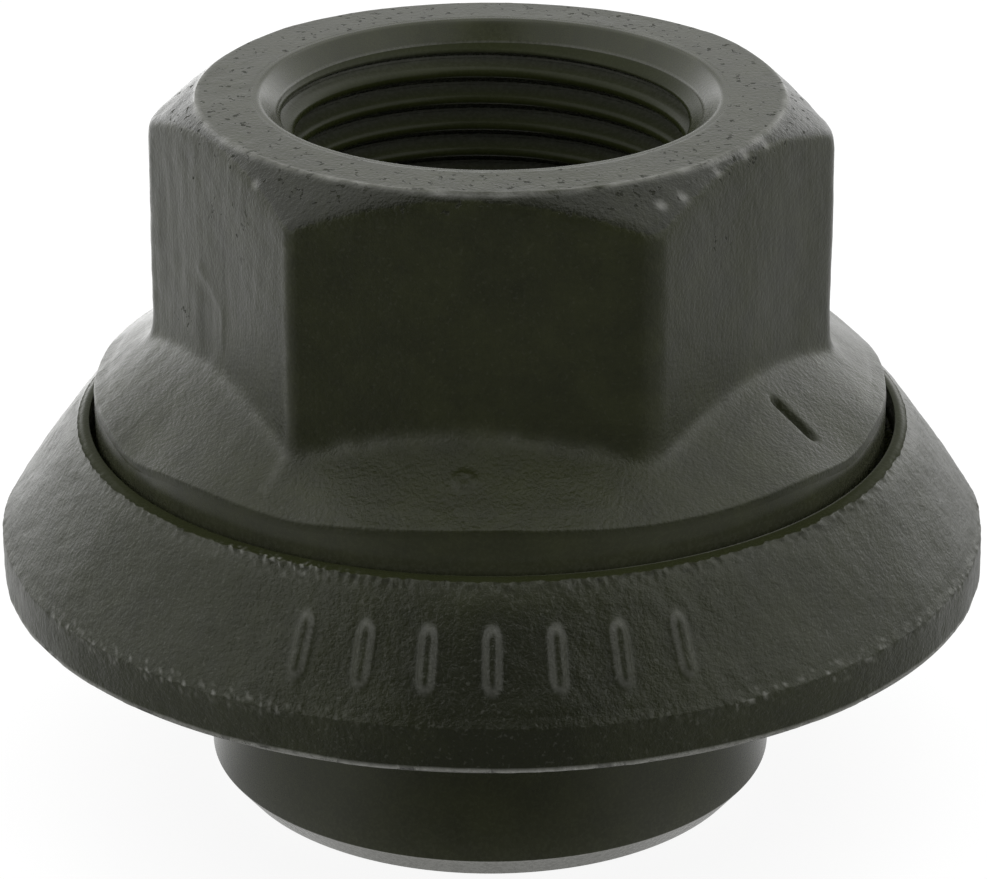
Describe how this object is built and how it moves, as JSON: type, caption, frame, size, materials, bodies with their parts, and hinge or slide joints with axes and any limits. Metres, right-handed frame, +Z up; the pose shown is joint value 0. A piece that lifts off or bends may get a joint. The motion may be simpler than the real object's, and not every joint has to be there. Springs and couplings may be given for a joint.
{
  "type": "wheel nut with captive pressure ring",
  "caption": "Forged hexagon wheel nut with a coned flange, a long centring sleeve and a loose coned pressure ring held captive under the flange.",
  "frame": {"origin": "on the axis of the thread, at the end face of the sleeve, where the nut stands", "axes": "+Z up the axis of the thread, from the sleeve to the hexagon; -Y is the side that the picture shows"},
  "size_m": [0.0528, 0.0528, 0.0383],
  "materials": {
    "nut_steel": "matte dark phosphate",
    "ring_steel": "matte dark phosphate"
  },
  "bodies": {
    "nut": {"nut": "nut_steel"},
    "ring": {"pressure_ring": "ring_steel"}
  },
  "joints": [
    {"name": "ring_spin", "type": "hinge", "parent": "nut", "child": "ring", "pos_m": [0, 0, 0.0122], "axis": [0, 0, 1], "continuous": true}
  ]
}
